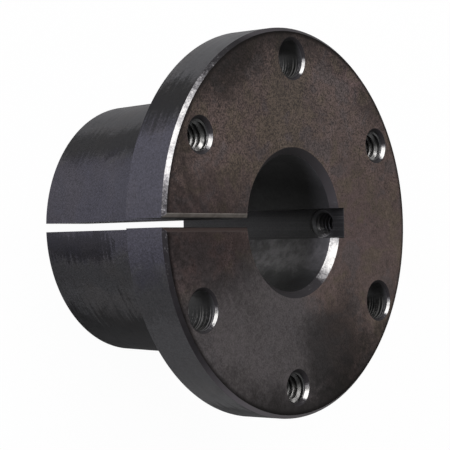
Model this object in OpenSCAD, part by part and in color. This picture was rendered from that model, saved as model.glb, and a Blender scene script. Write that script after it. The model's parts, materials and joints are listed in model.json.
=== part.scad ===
// Quick disconnect bushing: a flanged, tapered, split bushing with a keyed bore.
// It stands on the small end of its barrel with the flange on top.
// Z is the axis of the bore, +X points at the keyway and the split is at -X.

/* [Flange] */
// Outside diameter of the flange
flange_d = 80.96; // [78:0.01:92]
// Thickness of the flange
flange_t = 10; // [9:0.1:14]
// Chamfer on the front edge of the flange rim
rim_chamfer = 0.75; // [0.2:0.05:1.5]

/* [Barrel] */
// Length from the small end of the barrel to the front face of the flange
overall_l = 46; // [36:0.1:60]
// Diameter of the barrel where it meets the flange
barrel_d = 56.4; // [50:0.1:57.6]
// Diameter lost for each unit of barrel length
barrel_taper = 0.0625; // [0.02:0.0005:0.09]

/* [Bore] */
// Diameter of the bore
bore_d = 28.575; // [20:0.005:32]
// Chamfer at the front end of the bore
bore_chamfer = 1.4; // [0.4:0.1:2]
// Chamfer of the bore at the small end of the barrel
small_end_chamfer = 0.8; // [0.2:0.1:1.6]

/* [Keyway] */
// Width of the keyway
key_w = 6.35; // [4:0.01:8]
// Depth of the keyway, from the corner where its side meets the bore
key_depth = 3.175; // [2:0.005:4]

/* [Split] */
// Width of the saw cut that splits the wall
split_w = 1.8; // [1:0.1:3]
// Bevel along both edges of the split on the front face
split_bevel = 0.8; // [0.2:0.1:1.2]

/* [Cap screw holes] */
// Distance from the rim to the centres of all six flange holes
rim_to_holes = 6.35; // [5.8:0.01:7]
// Diameter of the three plain holes
clear_d = 7.94; // [6.6:0.01:8.4]
// Chamfer at the front of the plain holes
clear_chamfer = 0.5; // [0.2:0.05:0.7]

/* [Jack screw holes] */
// Thread diameter of the three tapped holes
jack_d = 6.35; // [5:0.01:7]
// Chamfer at the front of the tapped holes
jack_chamfer = 0.65; // [0.2:0.05:0.9]

/* [Set screw hole] */
// Thread diameter of the radial hole that opens into the keyway
set_d = 6.35; // [4:0.01:6.5]
// Distance from the front face to the axis of the radial hole
set_from_face = 6; // [4.4:0.1:6.4]
// Chamfer at the rim end of the radial hole
set_chamfer = 0.5; // [0.2:0.05:0.7]

/* [Hidden] */
// Facets of the large circles and of the holes
fn_body = 180;
fn_hole = 64;
// Each cut runs this far past the face that it opens
over = 1;
// The plain and the tapped holes take turns round the circle
holes_of_a_kind = 3;
hole_step = 360 / holes_of_a_kind;
first_plain = hole_step * 3 / 4;
first_tapped = hole_step / 4;
// Heights and radii that follow from the sizes above
flange_r = flange_d / 2;
flange_back = overall_l - flange_t;
barrel_r = barrel_d / 2;
small_end_r = barrel_r - barrel_taper / 2 * flange_back;
bore_r = bore_d / 2;
bolt_circle_r = flange_r - rim_to_holes;
key_corner = sqrt(bore_r * bore_r - key_w * key_w / 4);
key_floor = key_corner + key_depth;
set_z = overall_l - set_from_face;
// Colour of the oxide finish
oxide = [0.16, 0.15, 0.16];

// The turned outside: tapered barrel, flat flange and chamfered rim
module turned_blank() {
    rotate_extrude($fn = fn_body)
        polygon([
            [0, 0],
            [small_end_r, 0],
            [barrel_r, flange_back],
            [flange_r, flange_back],
            [flange_r, overall_l - rim_chamfer],
            [flange_r - rim_chamfer, overall_l],
            [0, overall_l]
        ]);
}

// Hole of a given depth below z = 0, with a chamfered mouth there
module hole(hole_r, depth, chamfer, facets) {
    translate([0, 0, -depth])
        cylinder(h = depth + over, r = hole_r, $fn = facets);
    translate([0, 0, -chamfer])
        cylinder(h = chamfer + over, r1 = hole_r, r2 = hole_r + chamfer + over, $fn = facets);
}

// The bore, with its wide chamfer at the flange and a small one at the small end
module bore() {
    translate([0, 0, overall_l])
        hole(bore_r, overall_l + over, bore_chamfer, fn_body);
    rotate([180, 0, 0])
        hole(bore_r, small_end_chamfer, small_end_chamfer, fn_body);
}

// Square groove along the whole bore
module keyway() {
    translate([0, -key_w / 2, -over])
        cube([key_floor, key_w, overall_l + 2 * over]);
}

// Saw cut from the bore out through barrel and flange, with bevelled front edges
module split() {
    translate([-flange_r - over, -split_w / 2, -over])
        cube([flange_r + over, split_w, overall_l + 2 * over]);
    translate([-flange_r - over, 0, overall_l])
        rotate([90, 0, 90])
            linear_extrude(height = flange_r + over)
                polygon([
                    [-split_w / 2, -split_bevel],
                    [split_w / 2, -split_bevel],
                    [split_w / 2 + split_bevel + over, over],
                    [-split_w / 2 - split_bevel - over, over]
                ]);
}

// Three holes on the bolt circle
module hole_ring(start, hole_r, chamfer) {
    for (i = [0 : holes_of_a_kind - 1])
        rotate([0, 0, start + i * hole_step])
            translate([bolt_circle_r, 0, overall_l])
                hole(hole_r, flange_t + over, chamfer, fn_hole);
}

// Radial hole from the rim into the floor of the keyway
module set_screw_hole() {
    translate([flange_r, 0, set_z])
        rotate([0, 90, 0])
            hole(set_d / 2, flange_r - key_corner, set_chamfer, fn_hole);
}

module bushing() {
    color(oxide)
        difference() {
            turned_blank();
            bore();
            keyway();
            split();
            hole_ring(first_plain, clear_d / 2, clear_chamfer);
            hole_ring(first_tapped, jack_d / 2, jack_chamfer);
            set_screw_hole();
        }
}

bushing();
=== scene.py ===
import json
import math

import bmesh
import bpy
from mathutils import Matrix, Quaternion, Vector


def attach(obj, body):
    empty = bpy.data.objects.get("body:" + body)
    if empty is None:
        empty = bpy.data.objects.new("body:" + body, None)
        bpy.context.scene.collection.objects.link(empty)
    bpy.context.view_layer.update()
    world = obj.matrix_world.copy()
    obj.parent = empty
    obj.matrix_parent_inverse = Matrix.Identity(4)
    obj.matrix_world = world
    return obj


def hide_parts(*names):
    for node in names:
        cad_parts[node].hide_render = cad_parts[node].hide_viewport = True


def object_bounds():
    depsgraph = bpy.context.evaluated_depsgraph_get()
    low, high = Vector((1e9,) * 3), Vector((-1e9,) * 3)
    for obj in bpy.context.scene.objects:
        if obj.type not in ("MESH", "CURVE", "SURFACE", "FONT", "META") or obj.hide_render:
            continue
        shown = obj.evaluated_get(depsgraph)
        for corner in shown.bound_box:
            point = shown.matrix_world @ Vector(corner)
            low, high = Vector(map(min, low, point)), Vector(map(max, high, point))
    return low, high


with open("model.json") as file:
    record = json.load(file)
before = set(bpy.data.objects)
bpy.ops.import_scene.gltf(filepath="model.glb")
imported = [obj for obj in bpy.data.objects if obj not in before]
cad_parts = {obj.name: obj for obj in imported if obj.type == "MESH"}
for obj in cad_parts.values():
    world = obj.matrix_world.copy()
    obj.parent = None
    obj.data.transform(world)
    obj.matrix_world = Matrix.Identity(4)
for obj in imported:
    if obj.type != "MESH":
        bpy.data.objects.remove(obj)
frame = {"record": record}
CAD_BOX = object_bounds()

bl_info = {
    "name": "Quick Disconnect Bushing",
    "version": (1, 0, 0),
    "blender": (4, 5, 0),
    "location": "3D View > Sidebar > Bushing",
    "description": "Dresses a flanged split bushing in black oxide, with real threads in its tapped holes",
    "category": "Object",
}

MM = 0.001
TOP = CAD_BOX[1].z
MOUNTS = {mount["name"]: mount for mount in frame["record"]["mounts"]}


def mount_size(mount, size):
    """A size of one of the record's mounts, in metres."""
    return MOUNTS[mount]["dims"][size] * MM


# Radius of the bolt circle, and the angles of the first smooth and the first tapped hole on it
BOLT_CIRCLE = mount_size("plain_holes", "pcd_mm") / 2
HOLES_OF_A_KIND = 3
FIRST_PLAIN, FIRST_JACK = 90, 30
# Segments round the body and round each hole, and the longest straight step along the body's outline
BODY_SEGMENTS, HOLE_SEGMENTS = 360, 72
LONGEST_STEP = 6 * MM
# Cutters run this far past the faces that they open
OVER = 1.0 * MM
# Steps of a rounded corner, and the share of either side that it may use up
ARC_STEPS, ARC_SHARE = 3, 0.45
# Points closer than these are one, on the body and on a thread
SAME_POINT, THREAD_POINT = 0.002 * MM, 0.001 * MM
# Edges that bend less than this are shaded smooth
CREASE = math.radians(32)


def length(name, description, default, low=0.0):
    """A distance that the sidebar shows with its unit."""
    return bpy.props.FloatProperty(
        name=name, description=description, default=default, min=low,
        precision=5, unit="LENGTH", subtype="DISTANCE",
    )


def amount(name, description, default, low=0.0, high=1.0):
    """A plain number that the sidebar shows."""
    return bpy.props.FloatProperty(name=name, description=description, default=default, min=low, max=high)


def colour(name, description, default):
    """A colour without alpha, in linear values."""
    return bpy.props.FloatVectorProperty(
        name=name, description=description, default=default, size=3, min=0.0, max=1.0, subtype="COLOR"
    )


class BushingSizes(bpy.types.PropertyGroup):
    """Sizes of the turned body and of what is cut into it."""

    flange_radius: length("Flange radius", "Axis to rim", CAD_BOX[1].y)
    flange_thickness: length(
        "Flange thickness", "Front face to back face", TOP - MOUNTS["flange_back"]["pos_m"][2]
    )
    rim_chamfer: length("Rim chamfer", "Chamfer at the front of the rim", 0.75 * MM)
    height: length("Height", "Small end to front face", TOP)
    barrel_radius: length("Barrel radius", "Axis to barrel wall at the flange", 28.2 * MM)
    taper: amount("Taper", "Radius lost for each unit of barrel length", 1 / 32)
    bore_radius: length("Bore radius", "Axis to bore wall", mount_size("bore", "r_mm"))
    bore_chamfer: length("Bore chamfer", "Chamfer at the front of the bore", 1.4 * MM)
    small_end_chamfer: length("Small end chamfer", "Chamfer of the bore at the small end", 0.8 * MM)
    key_width: length("Key width", "Wall to wall of the keyway", 6.35 * MM)
    key_depth: length("Key depth", "Side of the keyway from the bore to its floor", 3.175 * MM)
    split_width: length("Split width", "Wall to wall of the saw cut", 1.8 * MM)
    split_bevel: length("Split bevel", "Bevel along the saw cut on the front face", 0.8 * MM)
    plain_radius: length(
        "Plain hole radius", "Radius of the three smooth holes", mount_size("plain_holes", "hole_r_mm")
    )
    plain_chamfer: length("Plain hole chamfer", "Chamfer at the front of the smooth holes", 0.5 * MM)
    jack_radius: length(
        "Jack hole radius", "Major radius of the tapped holes", mount_size("jack_screw_holes", "hole_r_mm")
    )
    jack_chamfer: length("Jack hole chamfer", "Chamfer at the front of the tapped holes", 0.65 * MM)
    set_radius: length("Set screw radius", "Major radius of the radial hole", mount_size("set_screw_hole", "r_mm"))
    set_height: length(
        "Set screw height", "Small end to the axis of the radial hole", MOUNTS["set_screw_hole"]["pos_m"][2]
    )
    set_chamfer: length("Set screw chamfer", "Chamfer at the rim end of the radial hole", 0.5 * MM)
    edge_round: length("Edge round", "Radius worn on every machined edge", 0.14 * MM)


class ThreadSizes(bpy.types.PropertyGroup):
    """Sizes of the thread in the tapped holes."""

    pitch: length("Pitch", "Crest to crest", 1.27 * MM)
    bite: length("Bite", "How far the thread's foot is sunk in the wall", 0.04 * MM)
    steps: bpy.props.IntProperty(name="Steps", description="Points in each turn", default=40, min=12, max=96)


class FinishColours(bpy.types.PropertyGroup):
    """Colours of the oxide finish and of the metal that shows through it."""

    oxide_brown: colour("Oxide brown", "Warm oxide of the front", (0.075, 0.053, 0.047))
    oxide_rust: colour("Oxide rust", "Reddish patches of the front", (0.077, 0.053, 0.050))
    oxide_olive: colour("Oxide olive", "Golden green patches of the oxide", (0.074, 0.057, 0.041))
    oxide_grey: colour("Oxide grey", "Washed out oxide low on the front", (0.050, 0.046, 0.048))
    oxide_violet: colour("Oxide violet", "Cool patches on the turned sides", (0.040, 0.039, 0.050))
    oxide_black: colour("Oxide black", "Neutral oxide of the sides, the bore and the cuts", (0.045, 0.045, 0.045))
    # On chamfers, tool marks and thread crests this metal is laid only where they face or mirror the key light, a
    # painted highlight.
    bare_metal: colour("Bare metal", "Metal on worn edges, chamfers and thread crests", (0.46, 0.45, 0.44))
    rubbed_edge: colour("Rubbed edge", "Bevel of the split, rubbed back to dull metal", (0.22, 0.20, 0.18))


class StageSettings(bpy.types.PropertyGroup):
    """Floor, lamps and camera."""

    floor_colour: colour("Floor colour", "Paint of the floor", (0.90, 0.90, 0.90))
    floor_half: length("Floor half width", "Centre to edge of the floor", 2.0)
    world_strength: amount("World strength", "Light from all round", 0.12, 0.0, 4.0)
    lens_mm: amount("Lens", "Focal length in millimetres", 134.71, 10.0, 400.0)


def sizes():
    """The sizes as the sidebar has them."""
    return bpy.context.scene.bushing_sizes


# -------- meshes


def rounded(corners):
    """The closed outline of (radius, height, rounding) corners, each turned into a short arc."""
    points = [Vector(corner[:2]) for corner in corners]
    out = []
    for i, here in enumerate(points):
        before, after, own = points[i - 1], points[(i + 1) % len(points)], corners[i][2]
        if own <= 0:
            out.append(here)
            continue
        to_before, to_after = (before - here).normalized(), (after - here).normalized()
        half = to_before.angle(to_after) / 2
        reach = min(own / math.tan(half), ARC_SHARE * (before - here).length, ARC_SHARE * (after - here).length)
        start, end = here + to_before * reach, here + to_after * reach
        for k in range(ARC_STEPS + 1):
            t = k / ARC_STEPS
            out.append(start * (1 - t) ** 2 + here * 2 * t * (1 - t) + end * t ** 2)
    return out


def on_circle(radius, height, i, segments):
    """Point number i of a circle round the Z axis."""
    turn = 2 * math.pi * i / segments
    return radius * math.cos(turn), radius * math.sin(turn), height


def turned_ring(name, outline, segments):
    """A closed outline of (radius, height) turned right round the Z axis."""
    mesh = bmesh.new()
    rings = [[mesh.verts.new(on_circle(*point, i, segments)) for point in outline] for i in range(segments)]
    for i, this in enumerate(rings):
        following = rings[(i + 1) % segments]
        for k in range(len(outline)):
            after = (k + 1) % len(outline)
            mesh.faces.new((this[k], following[k], following[after], this[after]))
    return finished_mesh(name, mesh)


def stacked_prism(name, sections):
    """A solid through flat outlines of equal point count, one above the other, with flat ends."""
    mesh = bmesh.new()
    layers = [[mesh.verts.new(point) for point in section] for section in sections]
    for lower, upper in zip(layers, layers[1:]):
        for i in range(len(lower)):
            after = (i + 1) % len(lower)
            mesh.faces.new((lower[i], lower[after], upper[after], upper[i]))
    mesh.faces.new(layers[0][::-1])
    mesh.faces.new(layers[-1])
    return finished_mesh(name, mesh)


def turned_plug(name, outline, segments):
    """An open outline of (radius, height) turned round the Z axis: the shape that a drill takes out."""
    return stacked_prism(name, [[on_circle(*point, i, segments) for i in range(segments)] for point in outline])


def finished_mesh(name, mesh):
    """Puts a bmesh into a new object, with its faces pointing outwards."""
    bmesh.ops.recalc_face_normals(mesh, faces=mesh.faces)
    data = bpy.data.meshes.new(name)
    mesh.to_mesh(data)
    mesh.free()
    piece = bpy.data.objects.new(name, data)
    bpy.context.scene.collection.objects.link(piece)
    return piece


def applied(piece):
    """Replaces the piece's mesh with what its modifiers make of it."""
    graph = bpy.context.evaluated_depsgraph_get()
    made = bpy.data.meshes.new_from_object(
        piece.evaluated_get(graph), preserve_all_data_layers=True, depsgraph=graph
    )
    piece.modifiers.clear()
    old, piece.data = piece.data, made
    bpy.data.meshes.remove(old)
    made.name = piece.name
    return piece


def clean_shading(piece):
    """Smooth turned walls, flat faces kept flat and crisp edges kept crisp."""
    mesh = bmesh.new()
    mesh.from_mesh(piece.data)
    bmesh.ops.remove_doubles(mesh, verts=mesh.verts, dist=SAME_POINT)
    bmesh.ops.dissolve_degenerate(mesh, edges=mesh.edges, dist=SAME_POINT / 2)
    for face in mesh.faces:
        face.smooth = True
    for edge in mesh.edges:
        edge.smooth = edge.is_manifold and edge.calc_face_angle(0.0) < CREASE
    mesh.to_mesh(piece.data)
    mesh.free()
    weighted = piece.modifiers.new("weighted", "WEIGHTED_NORMAL")
    weighted.keep_sharp = True
    weighted.weight = 100
    return applied(piece)


# Softened corners of a hole's chamfer, at the wall and at the face: (outwards, upwards), in lips
WALL_CORNER = ((0.0, -1.0), (0.15, 0.05), (0.7, 0.7))
FACE_CORNER = ((-0.8, -0.8), (0.15, -0.18), (1.0, 0.02))


def mouth(radius, chamfer, depth):
    """Outline of a drilled hole below height 0: straight wall, chamfer and a softened lip."""
    lip = sizes().edge_round * math.tan(math.radians(22.5))
    wide = radius + chamfer
    outline = [(radius, -depth)]
    outline += [(radius + outwards * lip, -chamfer + upwards * lip) for outwards, upwards in WALL_CORNER]
    outline += [(wide + outwards * lip, upwards * lip) for outwards, upwards in FACE_CORNER]
    return outline + [(wide + lip, OVER)]


def placed(piece, matrix):
    """Moves the mesh itself, so that the object stays at the origin."""
    piece.data.transform(matrix)
    return piece


def given(piece, *materials):
    """Adds the materials, in the order that the face indices count them."""
    for material in materials:
        piece.data.materials.append(material)
    return piece


# -------- shader maths


def math_method(operation, other_first=False):
    """A method of Value that adds one Math node for two values."""

    def method(self, other):
        return self.math(operation, *((other, self) if other_first else (self, other)))

    return method


class Value:
    """A shader socket that takes part in Python arithmetic by adding Math nodes."""

    def __init__(self, finish, socket):
        self.finish = finish
        self.socket = socket

    def math(self, operation, *values):
        values = [v.socket if isinstance(v, Value) else float(v) for v in values]
        return self.finish.node("ShaderNodeMath", {"operation": operation}, dict(enumerate(values)))["Value"]

    __add__ = __radd__ = math_method("ADD")
    __sub__, __rsub__ = math_method("SUBTRACT"), math_method("SUBTRACT", True)
    __mul__ = __rmul__ = math_method("MULTIPLY")
    __truediv__, __rtruediv__ = math_method("DIVIDE"), math_method("DIVIDE", True)
    __pow__ = math_method("POWER")
    __gt__, __lt__ = math_method("GREATER_THAN"), math_method("LESS_THAN")
    least, most = math_method("MINIMUM"), math_method("MAXIMUM")

    def absolute(self):
        return self.math("ABSOLUTE", self)

    def sine(self):
        return self.math("SINE", self)

    def cosine(self):
        return self.math("COSINE", self)

    def clamped(self):
        return self.most(0.0).least(1.0)

    def between(self, low, high):
        """0 below low, 1 above high, and a smooth step from one to the other."""
        return self.finish.node(
            "ShaderNodeMapRange",
            {"interpolation_type": "SMOOTHSTEP"},
            {"Value": self, "From Min": low, "From Max": high, "To Min": 0.0, "To Max": 1.0},
        )["Result"]


class Outputs:
    """The outputs of one node, by name."""

    def __init__(self, finish, made):
        self.finish = finish
        self.made = made

    def __getitem__(self, name):
        return Value(self.finish, self.made.outputs[name])


# Sockets of the Mix node for colours, where names repeat
MIX_SHARE, MIX_FIRST, MIX_SECOND, MIX_RESULT = 0, 6, 7, 2


class Finish:
    """The nodes of a new material, or of the world or node group whose tree is given."""

    def __init__(self, name="", tree=None):
        if tree is None:
            self.material = bpy.data.materials.new(name)
            self.material.use_nodes = True
            tree = self.material.node_tree
        self.tree = tree
        self.tree.nodes.clear()

    def node(self, kind, settings=None, sockets=None):
        """A new node with its settings, and with values or links in its sockets."""
        made = self.tree.nodes.new(kind)
        for key, value in (settings or {}).items():
            setattr(made, key, value)
        for key, value in (sockets or {}).items():
            self._set_socket(made, key, value)
        return Outputs(self, made)

    def _set_socket(self, made, key, value):
        socket = made.inputs[key]
        if isinstance(value, Value):
            value = value.socket
        if isinstance(value, bpy.types.NodeSocket):
            self.tree.links.new(value, socket)
        elif socket.type == "RGBA" and len(value) == 3:
            socket.default_value = (*value, 1.0)
        else:
            socket.default_value = value

    def mix(self, factor, first, second, blend="MIX"):
        """Colour first where factor is 0 and second where it is 1."""
        return self.node(
            "ShaderNodeMix",
            {"data_type": "RGBA", "blend_type": blend},
            {MIX_SHARE: factor, MIX_FIRST: first, MIX_SECOND: second},
        )[MIX_RESULT]

    def noise(self, where, scale, detail=3.0, roughness=0.55, distortion=0.0):
        """Cloudy noise in space."""
        return self.node(
            "ShaderNodeTexNoise",
            {"noise_dimensions": "3D"},
            {"Vector": where, "Scale": scale, "Detail": detail, "Roughness": roughness, "Distortion": distortion},
        )["Fac"]

    def noise_along(self, distance, scale, detail=2.0, roughness=0.6):
        """Noise that changes only with one distance, as turning marks do."""
        return self.node(
            "ShaderNodeTexNoise",
            {"noise_dimensions": "1D"},
            {"W": distance, "Scale": scale, "Detail": detail, "Roughness": roughness},
        )["Fac"]

    def facing(self, direction):
        """How far the surface faces a direction: 1 straight at it, 0 across it."""
        normal = self.node("ShaderNodeTexCoord")["Normal"]
        product = self.node("ShaderNodeVectorMath", {"operation": "DOT_PRODUCT"}, {0: normal, 1: direction})
        return product["Value"]

    def shaded(self, tint, value):
        """The colour times a value."""
        factor = self.node("ShaderNodeCombineColor", None, {0: value, 1: value, 2: value})["Color"]
        return self.mix(1.0, tint, factor, "MULTIPLY")

    def bump(self, height, distance):
        """The normal that a height makes, with the distance for a height of 1."""
        sockets = {"Strength": 1.0, "Distance": distance, "Height": height}
        return self.node("ShaderNodeBump", None, sockets)["Normal"]

    def surface(self, sockets):
        """The shader and the output; returns the material."""
        shader = self.node("ShaderNodeBsdfPrincipled", None, sockets)
        self.node("ShaderNodeOutputMaterial", None, {"Surface": shader["BSDF"]})
        return self.material


def new_finish(name):
    """A new finish, the colours, and the point on the piece with its x, y and z, in metres."""
    finish = Finish(name)
    where = finish.node("ShaderNodeTexCoord")["Object"]
    parts = finish.node("ShaderNodeSeparateXYZ", None, {0: where})
    return finish, bpy.context.scene.bushing_colours, where, parts["X"], parts["Y"], parts["Z"]


def turned_grain(strength):
    """The stretched highlight of turning marks, laid round the axis by a quarter turn."""
    return {"Anisotropic": strength, "Anisotropic Rotation": 0.25}


def near_edges(radius, z, edges, reach):
    """1 on any of the turned edges, given as (radius, height), and 0 further off than reach."""
    nearest = None
    for edge_radius, edge_height in edges:
        dr, dz = radius - edge_radius, z - edge_height
        away = (dr * dr + dz * dz) ** 0.5
        nearest = away if nearest is None else nearest.least(away)
    return 1.0 - nearest.between(0.0, reach)


def back_edges():
    """The edges behind the front face, as (radius, height)."""
    s = sizes()
    back = s.height - s.flange_thickness
    return (s.flange_radius, back), (s.barrel_radius - s.taper * back, 0.0)


def front_edge():
    """The edge where the front face meets the rim chamfer, as (radius, height)."""
    s = sizes()
    return (s.flange_radius - s.rim_chamfer, s.height)


def turned_from(x, y, radius, degrees):
    """Distance round the axis from a direction, on a circle of radius 1."""
    turn = math.radians(degrees)
    facing = (x * math.cos(turn) + y * math.sin(turn)) / radius
    return ((1.0 - facing) * 2.0) ** 0.5


# Darker patches on the front: angle in degrees, radius, half length round the axis and half length
# along the radius in mm, and depth
FACE_SHADES = (
    (188.0, 26.0, 14.0, 21.0, 0.60),
    (297.0, 30.0, 14.0, 13.0, 0.64),
    (108.0, 24.0, 20.0, 16.0, 0.20),
    (283.0, 42.0, 42.0, 9.5, 0.85),
    (114.0, 42.0, 56.0, 9.0, 0.82),
)

# Painted shade on the turned sides (dark streaks in place of dark reflections; at 188 degrees a darker patch below
# the split): angle and half width in degrees, depth on the rim and on the barrel, and the share of the height
# above which the streak has gone (2 where it never does)
SIDE_PAINTED_SHADES = (
    (96.0, 8.0, 0.60, 0.60, 2.0),
    (144.0, 9.0, 0.82, 0.0, 2.0),
    (140.0, 9.0, 0.0, 0.60, 2.0),
    (188.0, 7.0, 0.0, 0.62, 0.50),
    (200.0, 9.0, 0.30, 0.25, 2.0),
    (240.0, 22.0, 0.0, 0.75, 2.0),
    (260.0, 16.0, 0.88, 0.96, 2.0),
)

# Inside this radius a chamfer is the bore's, outside the other one it is the rim's
BORE_ENDS, RIM_STARTS = 20 * MM, 39.2 * MM

# Chamfers that face these ways mirror the key box, on the rim, at the bore and at the holes; bare metal laid only
# there is a painted highlight
GLINT_FACING_RIM = (-0.641, 0.299, 0.707)
GLINT_FACING_BORE = (-0.624, 0.332, 0.707)
GLINT_FACING_HOLE = (-0.660, 0.253, 0.707)

# Up in the photograph, where the bushing lies on its side
UP = (0.0, 1.0, 0.0)


def face_shade(x, y, radius, ragged):
    """1 on plain oxide, less on the darker patches of the front."""
    shade = 1.0
    for angle, middle, arc, reach, depth in FACE_SHADES:
        round_axis = turned_from(x, y, radius, angle) * radius / (arc * MM)
        along = (radius - middle * MM) / (reach * MM)
        away = (round_axis * round_axis + along * along) ** 0.5 + ragged
        shade = shade * (1.0 - (1.0 - away.between(0.32, 1.25)) * depth)
    return shade


def painted_side_shade(x, y, radius, share, on_rim, ragged):
    """1 on plain oxide, less on the painted dark streaks of the turned sides."""
    shade = 1.0
    for angle, half, rim_depth, barrel_depth, top in SIDE_PAINTED_SHADES:
        away = turned_from(x, y, radius, angle) / math.radians(half) + ragged
        depth = barrel_depth + on_rim * (rim_depth - barrel_depth)
        if top <= 1.0:
            away = away + (share + ragged * 0.1).between(top - 0.12, top) * 2.0
        shade = shade * (1.0 - (1.0 - away.between(0.45, 1.35)) * depth)
    return shade


def oxide_face(name):
    """Black oxide on the faced front: warm cloudy tints, darker patches, coarse grain, faint rings from the facing
    cut and a painted shade line along the rim edge.
    """
    s = sizes()
    finish, tints, where, x, y, z = new_finish(name)
    radius = (x * x + y * y) ** 0.5
    cloud = finish.noise(where, 75.0, 4.0, 0.65, 0.5)
    patch = finish.noise(where, 230.0, 3.0, 0.6, 0.8)
    drift = finish.noise(where, 30.0, 2.0, 0.5)
    speck = finish.noise(where, 900.0, 3.0, 0.7)
    tone = finish.noise(where, 120.0, 3.0, 0.6, 0.4)
    coarse = finish.noise(where, 2300.0, 1.0, 0.6).between(0.32, 0.68)
    fine = finish.noise(where, 3400.0, 0.0).between(0.30, 0.70)
    rings = finish.noise_along(radius, 3400.0, 2.0, 0.7)
    wide_rings = finish.noise_along(radius, 700.0, 2.0, 0.6)

    tint = finish.mix(drift.between(0.40, 0.60), tints.oxide_brown, tints.oxide_rust)
    from_gold = turned_from(x, y, radius, 95.0) * 0.6 + (radius - s.bore_radius) / (26 * MM)
    gold = (1.0 - from_gold.between(0.2, 1.0)) * 0.10
    tint = finish.mix((tone * 0.7 + patch * 0.3 + gold).between(0.50, 0.60) * 0.70, tint, tints.oxide_olive)
    tint = finish.mix((1.0 - tone * 0.6 - patch * 0.4).between(0.52, 0.59) * 0.45, tint, tints.oxide_grey)
    washed = 1.0 - (turned_from(x, y, radius, 247.0) + (cloud - 0.5) * 0.9).between(0.55, 1.0)
    tint = finish.mix(washed * 0.9, tint, tints.oxide_grey)
    dark = face_shade(x, y, radius, (cloud - 0.5) * 1.2 + (speck - 0.5) * 0.5)
    upper = (y / (34 * MM) + (cloud - 0.5) * 3.0).between(-0.2, 0.9)
    grain = (coarse * 0.8 + fine * 1.2 - 1.0) * (0.27 + upper * 0.45)
    shade = 0.96 + grain + (speck - 0.5) * 1.2 + (cloud - 0.5) * 0.8 + (rings - 0.5) * 0.25
    # Painted shade: a dark, rougher line on the front along the edge of the rim chamfer.
    painted_edge_shade = near_edges(radius, z, (front_edge(),), 1.1 * MM)
    tint = finish.shaded(tint, shade * dark * (1.0 - painted_edge_shade * 0.9))

    height = rings * 0.35 + wide_rings * 0.25 + coarse * 0.40 + fine * 0.25 + speck * 0.60
    return finish.surface({
        "Base Color": tint,
        "Roughness": 0.32 + cloud.between(0.35, 0.7) * 0.06 + speck * 0.08 + (1.0 - dark) * 0.16 + painted_edge_shade * 0.2,
        **turned_grain(0.9),
        "Specular IOR Level": 0.2,
        "Specular Tint": (1.0, 0.87, 0.82, 1.0),
        "Normal": finish.bump(height, 0.012 * MM),
    })


def oxide_side(name):
    """Black oxide on the turned sides: smoother, with handling smudges, rings round the axis, painted dark streaks
    along it and a barrel a little darker than the rim.
    """
    s = sizes()
    finish, tints, where, x, y, z = new_finish(name)
    radius = (x * x + y * y) ** 0.5
    along = z + radius * 0.2
    cloud = finish.noise(where, 70.0, 3.0, 0.6, 0.6)
    smear = finish.noise(where, 190.0, 4.0, 0.65, 0.6)
    coarse = finish.noise(where, 2300.0, 2.0, 0.6).between(0.30, 0.70)
    fine = finish.noise(where, 3400.0, 0.0).between(0.25, 0.75)
    rings = finish.noise_along(along, 3600.0, 2.0, 0.7)
    wide_rings = finish.noise_along(along, 1100.0, 2.0, 0.6)
    grain = coarse * 0.5 + fine * 0.5

    on_rim = radius > s.barrel_radius + 2 * MM
    cool = 1.0 - (turned_from(x, y, radius, 170.0) + (smear - 0.5) * 0.5).between(0.30, 0.52)
    tint = finish.mix(cool, tints.oxide_black, tints.oxide_violet)
    tint = finish.mix(cloud.between(0.45, 0.65) * 0.12, tint, tints.oxide_olive)
    ragged = (smear - 0.5) * 1.5 + (wide_rings - 0.5) * 1.1 + (grain - 0.5) * 0.30
    # Painted shade: dark streaks along the sides in place of dark reflections, also made rougher.
    dark = painted_side_shade(x, y, radius, z / s.height, on_rim, ragged)
    shade = (0.12 + grain * 0.40 + rings * 0.14 + smear * 0.20) * (0.88 + on_rim * 0.12)
    worn = near_edges(radius, z, back_edges(), 0.22 * MM) * smear.between(0.42, 0.62)
    tint = finish.mix(worn * 0.12, finish.shaded(tint, shade * dark), tints.bare_metal)

    height = rings * 0.45 + wide_rings * 0.35 + grain * 0.35 + cloud * 2.0 + smear * 1.2
    rough = 0.34 + smear.between(0.48, 0.66) * 0.05 + grain * 0.05 + wide_rings.between(0.35, 0.65) * 0.03
    return finish.surface({
        "Base Color": tint,
        "Metallic": worn * 0.2,
        "Roughness": rough + (1.0 - dark) * 0.22,
        **turned_grain(0.9),
        "Specular IOR Level": 0.2,
        "Normal": finish.bump(height, 0.008 * MM),
    })


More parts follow.
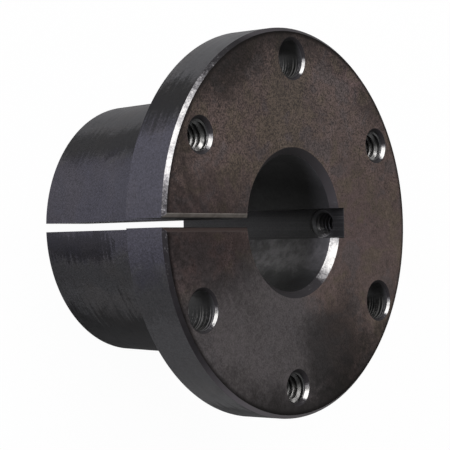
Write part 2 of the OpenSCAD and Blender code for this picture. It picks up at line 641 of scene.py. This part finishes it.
def oxide_bore(name):
    """Dark oxide on the bored wall, with fine rings, a rubbed patch low on the keyway side, and painted light on
    the upper wall and deeper in.
    """
    s = sizes()
    finish, tints, where, x, y, z = new_finish(name)
    radius = (x * x + y * y) ** 0.5
    cloud = finish.noise(where, 140.0, 4.0, 0.7, 1.0)
    coarse = finish.noise(where, 1500.0, 2.0, 0.6).between(0.32, 0.68)
    mottle = finish.noise(where, 480.0, 3.0, 0.7).between(0.35, 0.65)
    rings = finish.noise_along(z, 3200.0, 2.0, 0.7)
    upper = (y / s.bore_radius).between(0.40, 1.0)
    sheltered = (y / s.bore_radius).between(0.05, 0.45)
    inward = 1.0 - (z / s.height).between(0.55, 0.95)
    rubbed = 1.0 - (turned_from(x, y, radius, 332.0) + (cloud - 0.5) * 0.9).between(0.10, 0.50)
    tint = finish.mix(rubbed * 0.35, tints.oxide_black, tints.oxide_grey)
    shade = 0.40 + cloud * 0.35 + coarse * 0.12 + rings * 0.2 + mottle * (0.1 + rubbed * 0.4)
    # Painted light: the upper and sheltered walls and the bore deeper in are lifted, and the rubbed patch more so
    # the deeper it lies.
    painted_fill_light = 0.35 + inward * 1.6 + sheltered * (0.4 + inward * 0.5) + upper * 1.7
    tint = finish.shaded(tint, shade * (painted_fill_light + rubbed * (0.7 + inward * 2.0)))
    return finish.surface({
        "Base Color": tint,
        "Roughness": 0.32 + cloud.between(0.4, 0.6) * 0.10 + coarse * 0.03,
        **turned_grain(0.8),
        "Specular IOR Level": 0.4,
        "Normal": finish.bump(rings * 0.6 + coarse * 0.4 + cloud, 0.010 * MM),
    })


def bright_chamfer(name):
    """Chamfers cut last: bare metal only on the side that mirrors the key box, a painted highlight; thin oxide
    with flecks of metal on the rest, lifted low and high on the rim and above the bore as painted light.
    """
    finish, tints, where, x, y, z = new_finish(name)
    radius = (x * x + y * y) ** 0.5
    cloud = finish.noise(where, 300.0, 4.0, 0.65, 0.6)
    grain = finish.noise(where, 2400.0, 2.0, 0.7)
    rings = finish.noise_along(radius - z, 5200.0, 2.0, 0.6)
    on_rim = radius > RIM_STARTS
    on_bore = radius < BORE_ENDS
    on_hole = 1.0 - on_rim - on_bore
    facing = (
        (finish.facing(GLINT_FACING_RIM) - 0.010) * on_rim
        + (finish.facing(GLINT_FACING_HOLE) + 0.012) * on_hole
        + finish.facing(GLINT_FACING_BORE) * on_bore
    )
    # Painted highlight: bare metal, and its flecks, only where the chamfer mirrors the key box.
    rubbed = (facing + (cloud - 0.5) * 0.05 + (grain - 0.5) * 0.05).between(0.930, 0.998) ** 2.0
    flecks = (cloud * 0.4 + grain * 0.6).between(0.55, 0.62) * facing.between(0.80, 0.96) * 0.12
    # Painted light: the oxide is lifted low and high on the rim and just above the bore.
    low = (y / (-40.0 * MM)).between(0.50, 1.0) * on_rim
    high = (y / (40.0 * MM)).between(0.90, 0.98) * on_rim
    above = (y / (14 * MM)).between(0.1, 0.4) * on_bore
    tone_and_painted_light = 0.30 - on_rim * 0.18 + cloud * 0.25 + low * low * 2.3 + high * 0.45 + above * 0.35
    bare = (rubbed * (0.72 + cloud.between(0.28, 0.60) * 0.28) + flecks).clamped()
    tint = finish.mix(bare, finish.shaded(tints.oxide_grey, tone_and_painted_light), tints.bare_metal)
    return finish.surface({
        "Base Color": tint,
        "Metallic": bare * 0.95,
        "Roughness": 0.52 - rubbed * 0.33 + grain * 0.07 + rings * 0.06,
        **turned_grain(0.4),
        "Specular IOR Level": 0.1,
        "Normal": finish.bump(rings * 0.6 + grain * 0.4, 0.004 * MM),
    })


def rubbed_bevel(name):
    """Bevels along the split: one side rubbed back to dull metal, the other still under oxide, both with painted
    shade where they meet the split.
    """
    s = sizes()
    finish, tints, where, x, y, z = new_finish(name)
    cloud = finish.noise(where, 320.0, 4.0, 0.65, 0.6)
    grain = finish.noise(where, 2400.0, 2.0, 0.7)
    strokes = finish.noise_along(y * 3.0 + x * 0.12, 2600.0, 2.0, 0.6)
    bare = (0.65 + cloud.between(0.25, 0.60) * 0.35) * (y > 0.0)
    tint = finish.mix(bare, tints.oxide_brown, tints.rubbed_edge)
    # Painted shade: darker along the foot of the bevel, where it meets the wall of the split.
    foot = (s.split_width / 2 + 0.05 * MM, s.height - s.split_bevel)
    lip = near_edges(y.absolute(), z, (foot,), 0.30 * MM)
    tint = finish.shaded(tint, (0.20 + strokes * 0.25 + grain * 0.2 + bare * 0.85) * (1.0 - lip * 0.7))
    return finish.surface({
        "Base Color": tint,
        "Metallic": bare * 0.3,
        "Roughness": 0.38 + grain * 0.12,
        "Specular IOR Level": 0.2,
        "Normal": finish.bump(strokes * 0.6 + grain * 0.4, 0.008 * MM),
    })


def oxide_cut(name, across, marks_scale, roughness, body, bright, relief, dark_mouth=0.0):
    """Oxide on a wall that a drill, a saw or a broach has cut; across says which way the tool marks vary. Walls
    facing down and walls deeper in are lifted as painted light, dark_mouth darkens the mouth as painted shade, and
    bare metal on the tool marks only where the wall faces up is a painted glint.
    """
    finish, tints, where, x, y, z = new_finish(name)
    cloud = finish.noise(where, 170.0, 4.0, 0.65, 0.5)
    grain = finish.noise(where, 2400.0, 2.0, 0.75)
    marks = finish.noise_along(x * across[0] + y * across[1] + z * across[2], marks_scale, 3.0, 0.6)
    lower = finish.facing(UP).between(-0.3, 0.5)
    share = z / sizes().height
    inward = 1.0 - share.between(0.0, 0.95)
    # Painted glint: bare metal on the tool marks only where the wall faces up into the key light.
    worn = (marks * 0.9 + cloud * 0.3 + grain * 0.2).between(0.70, 0.82) * lower * bright
    # Painted light and shade: walls facing down are lifted, walls facing up kept dark, walls deeper in lifted and
    # the mouth darkened.
    shade = (0.35 + marks * 0.35 + grain * 0.80 + cloud * 0.4) * (2.4 - lower * 1.85) * (0.50 + inward * 1.5)
    shade = shade * (1.0 - share.between(0.86, 0.95) * dark_mouth)
    tint = finish.shaded(tints.oxide_black, shade * body)
    tint = finish.mix(worn, tint, tints.bare_metal)
    return finish.surface({
        "Base Color": tint,
        "Metallic": worn * 0.8,
        "Roughness": roughness + grain * 0.1,
        "Specular IOR Level": 0.35,
        "Normal": finish.bump(marks * 0.8 + grain * 0.2, relief * MM),
    })


def cut_thread(name, bare_from, bare_to, metal, body):
    """Thread as the tap leaves it: bare metal only where it faces up into the key light, a painted glint, and
    oxide in its roots and overhead.
    """
    finish, tints, where, *_ = new_finish(name)
    cloud = finish.noise(where, 420.0, 3.0, 0.6)
    grain = finish.noise(where, 2800.0, 2.0, 0.7)
    upward = (finish.facing(UP) + (cloud - 0.5) * 0.4).between(-0.10, 0.35)
    # Painted glint: bare metal only on faces that look up into the key light.
    bare = cloud.between(bare_from, bare_to) * upward
    tint = finish.mix(bare * metal, tints.oxide_black, tints.bare_metal)
    return finish.surface({
        "Base Color": finish.shaded(tint, body + grain * 0.6),
        "Metallic": bare * 0.95 * metal,
        "Roughness": 0.30 - bare * 0.12 + grain * 0.12,
        "Normal": finish.bump(grain, 0.006 * MM),
    })


# -------- the body


def body_outline():
    """Half section of the turned body, clockwise from the bore at the small end."""
    s = sizes()
    back = s.height - s.flange_thickness
    end_radius = s.barrel_radius - s.taper * back
    e = s.edge_round
    return rounded([
        (s.bore_radius, s.small_end_chamfer, e),
        (s.bore_radius + s.small_end_chamfer, 0.0, e),
        (end_radius, 0.0, e),
        (s.barrel_radius, back, 2 * e),
        (s.flange_radius, back, 1.6 * e),
        (s.flange_radius, s.height - s.rim_chamfer, 0.7 * e),
        (s.flange_radius - s.rim_chamfer, s.height, 0.7 * e),
        (s.bore_radius + s.bore_chamfer, s.height, e),
        (s.bore_radius, s.height - s.bore_chamfer, e),
    ])


def dense(outline):
    """The outline with its long straight runs divided."""
    out = []
    for i, here in enumerate(outline):
        after = outline[(i + 1) % len(outline)]
        parts = max(1, math.ceil((after - here).length / LONGEST_STEP))
        out += [here.lerp(after, k / parts) for k in range(parts)]
    return out


def key_floor():
    """Distance from the axis to the floor of the keyway."""
    s = sizes()
    return math.sqrt(s.bore_radius ** 2 - s.key_width ** 2 / 4) + s.key_depth


def keyway_cutter():
    """Square groove along the bore, with its top edges eased."""
    s = sizes()
    ease, hair = 0.1 * MM, 0.02 * MM
    heights = (-OVER, s.height - ease, s.height - hair, s.height + hair, s.height + OVER)
    sections = []
    for height, grow in zip(heights, (0.0, 0.0, 0.5 * ease, ease, ease)):
        half, floor = s.key_width / 2 + grow, key_floor() + grow
        corners = (0.0, -half), (floor, -half), (floor, half), (0.0, half)
        sections.append([(x, y, height) for x, y in corners])
    return stacked_prism("keyway_cutter", sections)


def split_cutter():
    """Saw cut with the bevel along its front edges."""
    s = sizes()
    half, top, bevel = s.split_width / 2, s.height, s.split_bevel
    ease = 0.12 * MM
    side = [
        (half, -OVER),
        (half, top - bevel - ease),
        (half + 0.3 * ease, top - bevel),
        (half + bevel - ease, top - ease * 0.9),
        (half + bevel + 0.2 * ease, top - 0.2 * ease),
        (half + bevel + ease, top + 0.05 * ease),
        (half + bevel + ease, top + OVER),
    ]
    profile = side + [(-y, z) for y, z in reversed(side)]
    ends = (-s.flange_radius - OVER, 0.0)
    return stacked_prism("split_cutter", [[(x, y, z) for y, z in profile] for x in ends])


def hole_cutters(label, start, radius, chamfer):
    """Three drilled holes on the bolt circle, the first of them at an angle of start degrees."""
    s = sizes()
    made = []
    for i in range(HOLES_OF_A_KIND):
        turn = math.radians(start + 360 / HOLES_OF_A_KIND * i)
        centre = (BOLT_CIRCLE * math.cos(turn), BOLT_CIRCLE * math.sin(turn), s.height)
        plug = turned_plug(f"{label}_{i}", mouth(radius, chamfer, s.flange_thickness + OVER), HOLE_SEGMENTS)
        made.append(placed(plug, Matrix.Translation(centre)))
    return made


def along_x(start, height):
    """Lays a piece made along Z out along X, from a point above the axis of the bushing."""
    return Matrix.Translation((start, 0.0, height)) @ Matrix.Rotation(math.radians(90), 4, "Y")


def set_screw_cutter():
    """Radial hole from the rim into the keyway."""
    s = sizes()
    depth = s.flange_radius - key_floor() + OVER
    plug = turned_plug("set_screw_cutter", mouth(s.set_radius, s.set_chamfer, depth), HOLE_SEGMENTS)
    return placed(plug, along_x(s.flange_radius, s.set_height))


def slopes_apart(cutter, axis="z"):
    """Gives the cutter's second material to its chamfers, which lie at about 45 degrees to the axis."""
    for face in cutter.data.polygons:
        if 0.5 < abs(getattr(face.normal, axis)) < 0.98:
            face.material_index = 1
    return cutter


def body_cutters(chamfer):
    """The keyway, the split and all seven holes, each with the finish that its walls get."""
    s = sizes()
    # The keyway and the split get lighter oxide than the holes, painted light in these shaded cuts.
    broached = oxide_cut("oxide_broached", (0.04, 1.0, 0.02), 2600.0, 0.42, 1.15, 0.10, 0.008, 0.95)
    sawn = oxide_cut("oxide_sawn", (0.03, 0.2, 1.0), 2200.0, 0.36, 1.5, 0.12, 0.010)
    drilled = oxide_cut("oxide_drilled", (0.06, 0.04, 1.0), 2000.0, 0.26, 0.72, 0.70, 0.014)
    reamed = oxide_cut("oxide_reamed", (1.0, 0.05, 0.05), 1500.0, 0.30, 0.9, 0.10, 0.012)
    drills = (
        hole_cutters("plain_cutter", FIRST_PLAIN, s.plain_radius, s.plain_chamfer),
        hole_cutters("jack_cutter", FIRST_JACK, s.jack_radius, s.jack_chamfer),
    )
    return [
        given(keyway_cutter(), broached),
        slopes_apart(given(split_cutter(), sawn, rubbed_bevel("rubbed_bevel"))),
        slopes_apart(given(set_screw_cutter(), reamed, chamfer), "x"),
        *(slopes_apart(given(drill, drilled, chamfer)) for kind in drills for drill in kind),
    ]


def cut_away(body, cutters):
    """Takes the cutters out of the body, with their materials left on the new walls."""
    scene = bpy.context.scene
    tray = bpy.data.collections.new("cutters")
    scene.collection.children.link(tray)
    for cutter in cutters:
        scene.collection.objects.unlink(cutter)
        tray.objects.link(cutter)
    cut = body.modifiers.new("cut", "BOOLEAN")
    cut.operation = "DIFFERENCE"
    cut.operand_type = "COLLECTION"
    cut.collection = tray
    cut.solver = "EXACT"
    cut.material_mode = "TRANSFER"
    applied(body)
    for cutter in cutters:
        bpy.data.objects.remove(cutter)
    bpy.data.collections.remove(tray)


# Material slots of the body
SIDE, FACE, CHAMFER, BORE = range(4)
# The cut body has far more faces than this
FEWEST_FACES = 1000


class BUSHING_OT_body(bpy.types.Operator):
    """Turn the body, cut the keyway, the split and the holes, and hide the CAD solid behind it"""

    bl_idname = "bushing.body"
    bl_label = "Bushing body"

    def sort_surfaces(self, body):
        """Side, face, chamfer or bore, by where each face of the turned ring lies."""
        s = sizes()
        ease = 0.1 * MM
        for face in body.data.polygons:
            middle, slope = face.center, abs(face.normal.z)
            radius = math.hypot(middle.x, middle.y)
            if 0.6 < slope < 0.8 and middle.z > s.height - s.bore_chamfer - ease:
                face.material_index = CHAMFER
            elif radius < s.bore_radius + s.small_end_chamfer * 0.9 and slope < 0.8:
                face.material_index = BORE
            elif middle.z > s.height - ease:
                face.material_index = FACE
            else:
                face.material_index = SIDE

    def execute(self, context):
        chamfer = bright_chamfer("bright_chamfer")
        turned = (oxide_side("oxide_side"), oxide_face("oxide_face"), chamfer, oxide_bore("oxide_bore"))
        body = given(turned_ring("bushing_body", dense(body_outline()), BODY_SEGMENTS), *turned)
        self.sort_surfaces(body)
        cut_away(body, body_cutters(chamfer))
        clean_shading(body)
        if len(body.data.polygons) < FEWEST_FACES:
            raise RuntimeError("the cuts left too little of the body")
        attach(body, "root")
        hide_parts("bushing")
        return {"FINISHED"}


# -------- threads


# The ridge as shares of the pitch: its height, its width at the foot and its width at the crest
RIDGE_HEIGHT, RIDGE_FOOT, RIDGE_CREST = 0.54, 0.86, 0.2
# The ridge rises and sinks away over this part of a turn
FADE_TURNS = 0.75
# Threads stop this far short of the chamfer and of the other end of their hole
THREAD_GAP = 0.1 * MM

THREAD_INPUTS = {
    "Major Radius": "NodeSocketFloat",
    "Pitch": "NodeSocketFloat",
    "Bite": "NodeSocketFloat",
    "Depth": "NodeSocketFloat",
    "Steps": "NodeSocketInt",
    "Copies": "NodeSocketInt",
    "Circle Radius": "NodeSocketFloat",
    "First Angle": "NodeSocketFloat",
    "Material": "NodeSocketMaterial",
}


def thread_helix(build, given_in):
    """The curve that a ridge follows up the wall, and how far the ridge stands out along it."""
    depth = given_in["Depth"]
    foot = given_in["Major Radius"] + given_in["Bite"]
    turns = depth / given_in["Pitch"]
    helix = build.node("GeometryNodeCurveSpiral", None, {
        "Resolution": given_in["Steps"], "Rotations": turns,
        "Start Radius": foot, "End Radius": foot, "Height": depth,
    })["Curve"]
    along = build.node("GeometryNodeSplineParameter")["Factor"]
    fade = FADE_TURNS / turns
    standing = (along / fade).clamped() * ((1.0 - along) / fade).clamped()
    return build.node("GeometryNodeSetCurveNormal", {"mode": "Z_UP"}, {"Curve": helix})["Curve"], standing


def thread_profile(build, given_in):
    """The section of a ridge, with its foot sunk in the wall and its crest towards the axis."""
    pitch = given_in["Pitch"]
    height = pitch * RIDGE_HEIGHT + given_in["Bite"]
    ridge = build.node("GeometryNodeCurvePrimitiveQuadrilateral", {"mode": "TRAPEZOID"}, {
        "Height": height, "Bottom Width": pitch * RIDGE_FOOT, "Top Width": pitch * RIDGE_CREST, "Offset": 0.0,
    })["Curve"]
    shift = build.node("ShaderNodeCombineXYZ", None, {"X": 0.0, "Y": height * 0.5})["Vector"]
    ridge = build.node("GeometryNodeTransform", None, {"Geometry": ridge, "Translation": shift})["Geometry"]
    quarter = build.node("ShaderNodeCombineXYZ", None, {"Z": math.radians(-90.0)})["Vector"]
    return build.node("GeometryNodeTransform", None, {"Geometry": ridge, "Rotation": quarter})["Geometry"]


def thread_nodes():
    """Geometry Nodes that wind one thread ridge inside a hole and copy it round the bolt circle."""
    tree = bpy.data.node_groups.new("thread_ridges", "GeometryNodeTree")
    face = tree.interface
    face.new_socket("Geometry", in_out="INPUT", socket_type="NodeSocketGeometry")
    for name, kind in THREAD_INPUTS.items():
        face.new_socket(name, in_out="INPUT", socket_type=kind)
    face.new_socket("Geometry", in_out="OUTPUT", socket_type="NodeSocketGeometry")
    build = Finish(tree=tree)
    given_in = build.node("NodeGroupInput")
    helix, standing = thread_helix(build, given_in)
    wound = build.node("GeometryNodeCurveToMesh", None, {
        "Curve": helix, "Profile Curve": thread_profile(build, given_in), "Scale": standing, "Fill Caps": True,
    })["Mesh"]
    copies, circle = given_in["Copies"], given_in["Circle Radius"]
    angle = given_in["First Angle"] + build.node("GeometryNodeInputIndex")["Index"] * (2 * math.pi) / copies
    spot = build.node("ShaderNodeCombineXYZ", None, {"X": circle * angle.cosine(), "Y": circle * angle.sine()})
    places = build.node("GeometryNodePoints", None, {"Count": copies, "Position": spot["Vector"]})["Geometry"]
    copied = build.node("GeometryNodeInstanceOnPoints", None, {"Points": places, "Instance": wound})["Instances"]
    real = build.node("GeometryNodeRealizeInstances", None, {"Geometry": copied})["Geometry"]
    coated = build.node("GeometryNodeSetMaterial", None, {"Geometry": real, "Material": given_in["Material"]})
    build.node("NodeGroupOutput", None, {"Geometry": coated["Geometry"]})
    return tree


def wind_thread(name, matrix, values):
    """One piece of thread from the node tree, with its place in its mesh."""
    tree = bpy.data.node_groups.get("thread_ridges") or thread_nodes()
    piece = bpy.data.objects.new(name, bpy.data.meshes.new(name))
    bpy.context.scene.collection.objects.link(piece)
    wind = piece.modifiers.new("wind", "NODES")
    wind.node_group = tree
    for item in tree.interface.items_tree:
        if item.in_out == "INPUT" and item.name in values:
            wind[item.identifier] = values[item.name]
    placed(applied(piece), matrix)
    piece.data.materials.clear()
    mesh = bmesh.new()
    mesh.from_mesh(piece.data)
    for face in mesh.faces:
        face.material_index = 0
    bmesh.ops.remove_doubles(mesh, verts=mesh.verts, dist=THREAD_POINT)
    bmesh.ops.recalc_face_normals(mesh, faces=mesh.faces)
    mesh.to_mesh(piece.data)
    mesh.free()
    given(piece, values["Material"])
    if not piece.data.polygons:
        raise RuntimeError(f"{name} came out empty")
    clean_shading(piece)
    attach(piece, "root")
    return piece


class BUSHING_OT_threads(bpy.types.Operator):
    """Wind the threads of the three jack screw holes and of the set screw hole"""

    bl_idname = "bushing.threads"
    bl_label = "Threads"

    def execute(self, context):
        s, t = sizes(), context.scene.bushing_thread
        common = {"Pitch": t.pitch, "Bite": t.bite, "Steps": t.steps}
        back = s.height - s.flange_thickness
        wind_thread("jack_screw_threads", Matrix.Translation((0.0, 0.0, back + THREAD_GAP)), {
            **common,
            "Major Radius": s.jack_radius,
            "Depth": s.flange_thickness - s.jack_chamfer - 2 * THREAD_GAP,
            "Copies": HOLES_OF_A_KIND,
            "Circle Radius": BOLT_CIRCLE,
            "First Angle": math.radians(FIRST_JACK),
            "Material": cut_thread("bright_thread", 0.25, 0.50, 1.0, 0.7),
        })
        wind_thread("set_screw_thread", along_x(key_floor() + THREAD_GAP, s.set_height), {
            **common,
            "Major Radius": s.set_radius,
            "Depth": s.flange_radius - s.set_chamfer - key_floor() - 2 * THREAD_GAP,
            "Copies": 1,
            "Circle Radius": 0.0,
            "First Angle": 0.0,
            # The set screw thread is lifted to a body of 1.4, painted light inside its hole.
            "Material": cut_thread("dull_thread", 0.50, 0.66, 0.6, 1.4),
        })
        return {"FINISHED"}


# -------- the stage

# Soft boxes: name; azimuth, elevation and roll in degrees; width and height in metres; watts; colour
SOFT_BOXES = (
    ("key_box", 110.6, 47.0, 24.0, 1.04, 0.68, 5.6, (1.0, 1.0, 1.0)),
    ("near_strip", 160.0, 7.0, 0.0, 0.90, 0.22, 12.0, (0.90, 0.88, 1.0)),
    ("far_box", 15.0, 32.0, 0.0, 0.75, 0.36, 0.8, (1.0, 1.0, 1.0)),
    ("back_box", 315.0, 55.0, 0.0, 0.45, 0.45, 1.0, (1.0, 1.0, 1.0)),
)
# They hang this far from a point on the axis, and face it
BOX_DISTANCE = 0.8
BOX_AIM = Vector((0.0, 0.0, 0.03))

WHITE = (1.0, 1.0, 1.0)
# The floor lies this far under the part, and glows by these shares for what looks straight at it,
# what is mirrored in the part and what passes through glass
FLOOR_CLEAR = 0.05 * MM
SEEN_STRAIGHT, SEEN_MIRRORED, SEEN_THROUGH = 0.97, 0.3, 0.93

# The camera's turn as axis times angle, and the centre of the front face as the camera has it,
# in radii of the flange
CAMERA_TURN = Vector((-0.023155, 0.871615, 0.010109))
FACE_FROM_CAMERA = Vector((0.359600, 0.011405, -8.623417)) * (40.48 * MM)
SENSOR_MM = 36.0
CLIP = (0.02, 20.0)


class BUSHING_OT_stage(bpy.types.Operator):
    """Lay the floor, hang the soft boxes and set up the camera at the photograph's angle"""

    bl_idname = "bushing.stage"
    bl_label = "Stage"

    def execute(self, context):
        settings = context.scene.bushing_stage
        self.lay_floor(settings)
        self.light_world(context, settings)
        for box in SOFT_BOXES:
            self.hang_box(context, *box)
        self.place_camera(context, settings)
        context.scene.view_settings.view_transform = "Standard"
        return {"FINISHED"}

    def lay_floor(self, settings):
        """A pale floor that takes soft shadows but looks close to white."""
        half = settings.floor_half
        mesh = bmesh.new()
        corners = ((-half, -half), (half, -half), (half, half), (-half, half))
        mesh.faces.new([mesh.verts.new((x, y, -FLOOR_CLEAR)) for x, y in corners])
        floor = finished_mesh("studio_floor", mesh)
        finish = Finish("floor_paint")
        where = finish.node("ShaderNodeTexCoord")["Object"]
        mottle = finish.noise(where, 40.0, 2.0)
        paint = finish.node("ShaderNodeBsdfDiffuse", None, {"Color": settings.floor_colour, "Roughness": 0.5})
        glow = finish.node("ShaderNodeEmission", None, {"Color": WHITE, "Strength": 1.0})
        path = finish.node("ShaderNodeLightPath")
        seen = (
            path["Is Camera Ray"] * SEEN_STRAIGHT
            + path["Is Glossy Ray"] * SEEN_MIRRORED
            + path["Is Transmission Ray"] * SEEN_THROUGH
        ).clamped() * (0.99 + mottle * 0.01)
        both = finish.node("ShaderNodeMixShader", None, {0: seen, 1: paint["BSDF"], 2: glow["Emission"]})
        finish.node("ShaderNodeOutputMaterial", None, {"Surface": both["Shader"]})
        finish.material.cycles.emission_sampling = "NONE"
        given(floor, finish.material)

    def light_world(self, context, settings):
        """A little even light from all round."""
        world = bpy.data.worlds.new("studio_air")
        context.scene.world = world
        world.use_nodes = True
        finish = Finish(tree=world.node_tree)
        air = finish.node("ShaderNodeBackground", None, {"Color": WHITE, "Strength": settings.world_strength})
        finish.node("ShaderNodeOutputWorld", None, {"Surface": air["Background"]})

    def hang_box(self, context, name, azimuth, elevation, roll, width, height, watts, tint):
        """One soft box, facing the part."""
        lamp = bpy.data.lights.new(name, "AREA")
        lamp.shape = "RECTANGLE"
        lamp.size, lamp.size_y = width, height
        lamp.energy = watts
        lamp.color = tint
        turn, rise = math.radians(azimuth), math.radians(elevation)
        towards = Vector((math.cos(turn) * math.cos(rise), math.sin(turn) * math.cos(rise), math.sin(rise)))
        box = bpy.data.objects.new(name, lamp)
        box.location = BOX_AIM + towards * BOX_DISTANCE
        box.rotation_mode = "QUATERNION"
        rolled = Quaternion((0.0, 0.0, 1.0), math.radians(roll))
        box.rotation_quaternion = (-towards).to_track_quat("-Z", "Y") @ rolled
        context.scene.collection.objects.link(box)

    def place_camera(self, context, settings):
        """The view worked out from the photograph, which shows the bushing lying on its side."""
        data = bpy.data.cameras.new("camera")
        data.lens = settings.lens_mm
        data.sensor_width = SENSOR_MM
        data.clip_start, data.clip_end = CLIP
        camera = bpy.data.objects.new("camera", data)
        camera.rotation_mode = "QUATERNION"
        look = Quaternion(CAMERA_TURN.normalized(), CAMERA_TURN.length).inverted()
        camera.rotation_quaternion = look
        camera.location = Vector((0.0, 0.0, TOP)) - look @ FACE_FROM_CAMERA
        context.scene.collection.objects.link(camera)
        context.scene.camera = camera


class BUSHING_PT_sidebar(bpy.types.Panel):
    bl_label = "Bushing"
    bl_idname = "BUSHING_PT_sidebar"
    bl_space_type = "VIEW_3D"
    bl_region_type = "UI"
    bl_category = "Bushing"

    def draw(self, context):
        layout = self.layout
        for operator in OPERATORS:
            layout.operator(operator.bl_idname)
        for group in PROPERTIES:
            settings = getattr(context.scene, group)
            for name in settings.bl_rna.properties.keys():
                if name not in {"rna_type", "name"}:
                    layout.prop(settings, name)


PROPERTIES = {
    "bushing_sizes": BushingSizes,
    "bushing_thread": ThreadSizes,
    "bushing_colours": FinishColours,
    "bushing_stage": StageSettings,
}
OPERATORS = (BUSHING_OT_body, BUSHING_OT_threads, BUSHING_OT_stage)


def register():
    for group in (*PROPERTIES.values(), *OPERATORS, BUSHING_PT_sidebar):
        bpy.utils.register_class(group)
    for name, group in PROPERTIES.items():
        setattr(bpy.types.Scene, name, bpy.props.PointerProperty(type=group))


def unregister():
    for name in PROPERTIES:
        delattr(bpy.types.Scene, name)
    for group in reversed((*PROPERTIES.values(), *OPERATORS, BUSHING_PT_sidebar)):
        bpy.utils.unregister_class(group)


def main():
    register()
    bpy.ops.bushing.body()
    bpy.ops.bushing.threads()
    bpy.ops.bushing.stage()


if __name__ == "__main__":
    main()
